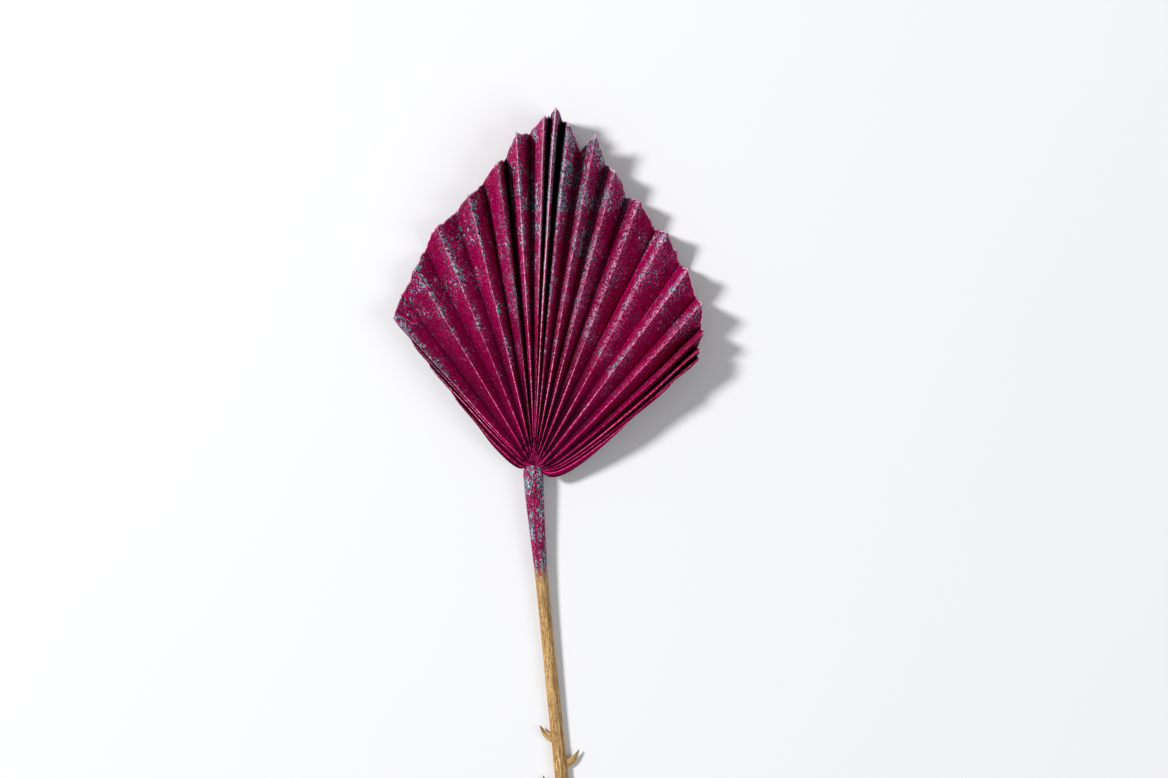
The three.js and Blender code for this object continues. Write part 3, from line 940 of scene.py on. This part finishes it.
def add_tooth(stalk, along, side, length):
    """A hooked tooth, flattened and pointed, leaning towards the blade."""
    base = len(stalk.points)
    for k in range(TOOTH_RINGS):
        u = k / (TOOTH_RINGS - 1)
        reach = length * (TOOTH_REACH * u + 0.06 * math.sin(math.pi * u)) - TOOTH_ROOT * (1 - u)
        climb = length * TOOTH_CLIMB * u ** 1.7
        wide = TOOTH_WIDTH * (1 - u) ** 0.8 + 0.16
        high = TOOTH_DEPTH * (1 - u) ** 0.7 + 0.14
        turn = math.atan2(1.7 * TOOTH_CLIMB * u ** 0.7, TOOTH_REACH) * 0.8
        ring, flat, rise = [], [], []
        for s in range(TOOTH_SIDES):
            q = 2 * math.pi * s / TOOTH_SIDES
            a, b = wide * math.cos(q), high * math.sin(q)
            x = lean_at(along) + side * (width_at(along) / 2 + reach - a * math.sin(turn))
            y = -along + climb + a * math.cos(turn)
            ring.append((x, y, margin_height(along) + 0.3 + b + 0.5 * u * u))
            flat.append(a)
            rise.append(b)
        stalk.add_points(ring, along=along, around=flat, lift=rise, tip=u)
    last = base + (TOOTH_RINGS - 1) * TOOTH_SIDES
    skin = tube_faces(base, TOOTH_RINGS, TOOTH_SIDES)
    point = tuple(range(last, last + TOOTH_SIDES))
    root = tuple(range(base, base + TOOTH_SIDES))[::-1]
    faces = skin + [point, root]
    stalk.add_faces(faces if side > 0 else [face[::-1] for face in faces])


def build_petiole(material):
    stalk = Stalk()
    add_shaft(stalk)
    for along, side, length in TEETH:
        add_tooth(stalk, along, side, length)
    points = np.array(stalk.points)
    return make_object("keeled_petiole", points, stalk.faces, stalk.smooth, stalk.attributes, material,
                       "petiole")


# The knot below the gathered folds

KNOT_RINGS = 40
KNOT_SIDES = 120
KNOT_HALF_WIDTH = 4.6
KNOT_HALF_LENGTH = 4.2
KNOT_BACK = 0.6
KNOT_SINK = 1.2
KNOT_RISE = 0.7
KNOT_DEPTH = 2.2
STREAK_PITCH = 0.62
STREAK_DEPTH = 0.7
STREAK_SPREAD = 0.11


def build_knot(material):
    points, streaks = [], []
    for k in range(KNOT_RINGS + 1):
        tilt = math.pi * k / KNOT_RINGS
        for side in range(KNOT_SIDES):
            turn = 2 * math.pi * side / KNOT_SIDES
            x = KNOT_HALF_WIDTH * math.sin(tilt) * math.cos(turn)
            y = KNOT_HALF_LENGTH * math.sin(tilt) * math.sin(turn) - KNOT_BACK
            # Streaks spread like the folds, from a point below the knot
            across = x / (1 + STREAK_SPREAD * (y + KNOT_HALF_LENGTH)) / STREAK_PITCH
            streak = abs(across - round(across)) * STREAK_PITCH
            dome = (KNOT_RISE if tilt < math.pi / 2 else KNOT_DEPTH) * math.cos(tilt)
            points.append((x, y, KNOT_HEIGHT - KNOT_SINK + dome - STREAK_DEPTH * streak))
            streaks.append(streak)
    faces = [(a, d, c, b) for a, b, c, d in tube_faces(0, KNOT_RINGS + 1, KNOT_SIDES)]
    points, streaks = np.array(points), np.array(streaks)
    # The knot gets a little painted shade all over
    everywhere = {
        "trough": 5.0, "rim": 90.0, "crest_line_strength": 0.8, "band": 0.0, "spray": -0.6, "light_and_shade": 0.1, "smooth": 0.0,
        "grainy": 0.0, "bare": 0.0,
    }
    attributes = {key: np.full(len(points), value) for key, value in everywhere.items()}
    attributes["ridge"] = streaks
    attributes["outward"] = np.linalg.norm(points[:, :2], axis=1)
    attributes["lane"] = points[:, 0] * 1.6
    # Painted shade in the grooves between the streaks
    attributes["painted_shade"] = 0.9 * smoothstep(0.12, 0.3, streaks)
    return make_object("knot", points, faces, [True] * len(faces), attributes, material)


# Torn fibres at the trimmed edge

# How swollen the cut ends of some ribs are, by their place in the list of folds
SPLIT_RIBS = {13: 0.8, 15: 0.9, 17: 1.2, 19: 0.9, 23: 1.0, 25: 1.4, 27: 1.0, 31: 0.8, 35: 0.8}
FRAYED_FOLDS = range(9, 43, 2)
MOST_FRAYED = range(15, 34)
FIBRE_THICKNESS = 0.12
FIBRE_STEPS = 7
PEELED_FOLD = 27
PEELED_WIDTH = 0.9
PEELED_THICKNESS = 0.14
PEELED_STEPS = 9
RIB_RINGS = 8
RIB_SIDES = 12


def ribbon(points, faces, path, width, thick):
    """Adds a thin closed strip along a path, narrowing to its far end."""
    path = np.array(path, float)
    ahead = np.gradient(path, axis=0)
    side = np.cross(ahead, [0, 0, 1.0])
    side /= np.maximum(np.linalg.norm(side, axis=1), 1e-9)[:, None]
    base = len(points)
    for k, (place, across) in enumerate(zip(path, side)):
        half = width / 2 * (1 - 0.85 * (k / (len(path) - 1)) ** 1.5)
        for a, b in ((-1, -1), (1, -1), (1, 1), (-1, 1)):
            points.append(place + across * half * a + np.array([0, 0, thick / 2 * b]))
    faces += tube_faces(base, len(path), 4)
    faces.append((base + 3, base + 2, base + 1, base))
    last = base + 4 * (len(path) - 1)
    faces.append((last, last + 1, last + 2, last + 3))


def rib_end(points, faces, centre, ahead, across, size):
    """Adds the small swollen end of a cut rib."""
    base = len(points)
    upward = np.cross(across, ahead)
    for k in range(RIB_RINGS + 1):
        tilt = math.pi * k / RIB_RINGS
        for side in range(RIB_SIDES):
            turn = 2 * math.pi * side / RIB_SIDES
            around = across * 0.62 * size * math.cos(turn) + upward * 0.45 * size * math.sin(turn)
            points.append(centre + ahead * 1.05 * size * math.cos(tilt) + around * math.sin(tilt))
    faces += tube_faces(base, RIB_RINGS + 1, RIB_SIDES)


def peeled_path(elevations, near_tip):
    """One strip has peeled away along the cut edge right of the tip."""
    crest = fold_curve(PEELED_FOLD, elevations[PEELED_FOLD], near_tip)[-1]
    valley = fold_curve(PEELED_FOLD + 1, elevations[PEELED_FOLD + 1], near_tip)[-1]
    along = np.linspace(0.02, 0.62, PEELED_STEPS)
    lift = 0.15 + 0.75 * np.sin(math.pi * (along - 0.02) / 0.75)
    away = np.column_stack([0.35 * lift - 0.5, 0.1 * lift - 0.5, lift])
    return crest + (valley - crest) * along[:, None] + away


def build_frays(material):
    points, faces, swollen, swollen_faces = [], [], [], []
    draw = np.random.RandomState(SEEDS["frays"])
    elevations = fold_elevations()
    near_tip = np.array([0.985, 0.993, 1.0])
    steps = np.linspace(0, 1, FIBRE_STEPS)[:, None]
    for index in FRAYED_FOLDS:
        curve = fold_curve(index, elevations[index], near_tip)
        ahead = curve[-1] - curve[0]
        ahead /= np.linalg.norm(ahead)
        across = np.array([ahead[1], -ahead[0], 0])
        for _ in range(2 if index in MOST_FRAYED else 1):
            reach = draw.uniform(0.1, 0.9)
            shift = draw.uniform(-0.45, 0.45)
            lean = draw.uniform(-0.6, 0.6)
            start = curve[-1] - ahead * 1.9 + across * shift - [0, 0, 0.15]
            path = start + ahead * (reach + 0.9) * steps + across * lean * steps ** 2
            path = path + [0, 0, 0.3] * steps ** 2
            ribbon(points, faces, path, draw.uniform(0.35, 0.6), FIBRE_THICKNESS)
        if index in SPLIT_RIBS:
            centre = curve[-1] - ahead * 1.4 - [0, 0, 0.1]
            rib_end(swollen, swollen_faces, centre, ahead, across, SPLIT_RIBS[index])
    ribbon(points, faces, peeled_path(elevations, near_tip), PEELED_WIDTH, PEELED_THICKNESS)
    fibres = len(points)
    faces += [tuple(corner + fibres for corner in face) for face in swollen_faces]
    points = np.array(points + swollen)
    count = len(points)
    everywhere = {
        "ridge": 5.0, "trough": 5.0, "rim": 5.0, "crest_line_strength": 0.0, "band": 0.0, "spray": 0.3, "smooth": 0.0,
        "grainy": 0.0, "painted_shade": 0.0, "light_and_shade": 0.0,
    }
    attributes = {key: np.full(count, value) for key, value in everywhere.items()}
    attributes["outward"] = np.linalg.norm(points[:, :2], axis=1)
    attributes["lane"] = draw.uniform(0, 40, count)
    attributes["bare"] = np.where(np.arange(count) >= fibres, 0.55, draw.uniform(0.2, 0.8, count))
    flat = [False] * len(faces)
    return make_object("torn_fibres", points, faces, flat, attributes, material)


leaf_paint = leaf_material()
build_blade(leaf_paint)
build_knot(leaf_paint)
build_frays(leaf_paint)
build_petiole(stalk_material())


# Floor, light and camera, in metres

FLOOR_REACH = 12
FLOOR_GAP = 0.0002
AIM_PAST_KNOT = 0.05
AIM = np.array([KNOT[0], KNOT[1] + AIM_PAST_KNOT, 0.0])
KEY_LIGHT = {"from_aim": (-2.95, 1.2, 2.8), "size": 0.8, "power": 190}
FILL_LIGHT = {"from_aim": (2.7, -0.6, 2.3), "size": 2.2, "power": 32}
SKY = (0.93, 0.95, 1.0, 1)
SKY_STRENGTH = 0.30
PHOTO_CENTRE = KNOT[:2] + np.array([27.5, 37.5]) * MM
CAMERA_HEIGHT = 1.517
LENS = 85
SENSOR_WIDTH = 36
VIEW_REACH = 20


def build_floor():
    mesh = bpy.data.meshes.new("floor")
    corners = [(x * FLOOR_REACH, y * FLOOR_REACH, 0) for x, y in ((-1, -1), (1, -1), (1, 1), (-1, 1))]
    mesh.from_pydata(corners, [], [(0, 1, 2, 3)])
    floor = bpy.data.objects.new("floor", mesh)
    bpy.context.scene.collection.objects.link(floor)
    nodes = Nodes("pale_floor")
    tint = nodes.noise(nodes.place(), PATTERN["ground"], 2, 0.5)
    mesh.materials.append(nodes.finish(nodes.mix(tint, GROUND_DARK, GROUND_LIGHT), 0.9, 0.1))
    floor.location.z = cad_low.z - FLOOR_GAP


def add_light(name, from_aim, size, power):
    data = bpy.data.lights.new(name, "AREA")
    data.shape = "DISK"
    data.size = size
    data.energy = power
    light = bpy.data.objects.new(name, data)
    place = AIM + np.array(from_aim)
    light.location = place
    light.rotation_euler = Vector(AIM - place).to_track_quat("-Z", "Y").to_euler()
    bpy.context.scene.collection.objects.link(light)


def add_sky():
    world = bpy.data.worlds.new("studio")
    world.use_nodes = True
    world.node_tree.nodes["Background"].inputs[0].default_value = SKY
    world.node_tree.nodes["Background"].inputs[1].default_value = SKY_STRENGTH
    bpy.context.scene.world = world
    bpy.context.scene.view_settings.view_transform = "Standard"


def add_camera():
    data = bpy.data.cameras.new("camera")
    data.lens = LENS
    data.sensor_width = SENSOR_WIDTH
    data.clip_end = VIEW_REACH
    camera = bpy.data.objects.new("camera", data)
    camera.location = (PHOTO_CENTRE[0], PHOTO_CENTRE[1], CAMERA_HEIGHT)
    bpy.context.scene.collection.objects.link(camera)
    bpy.context.scene.camera = camera


build_floor()
add_light("key", **KEY_LIGHT)
add_light("fill", **FILL_LIGHT)
add_sky()
add_camera()
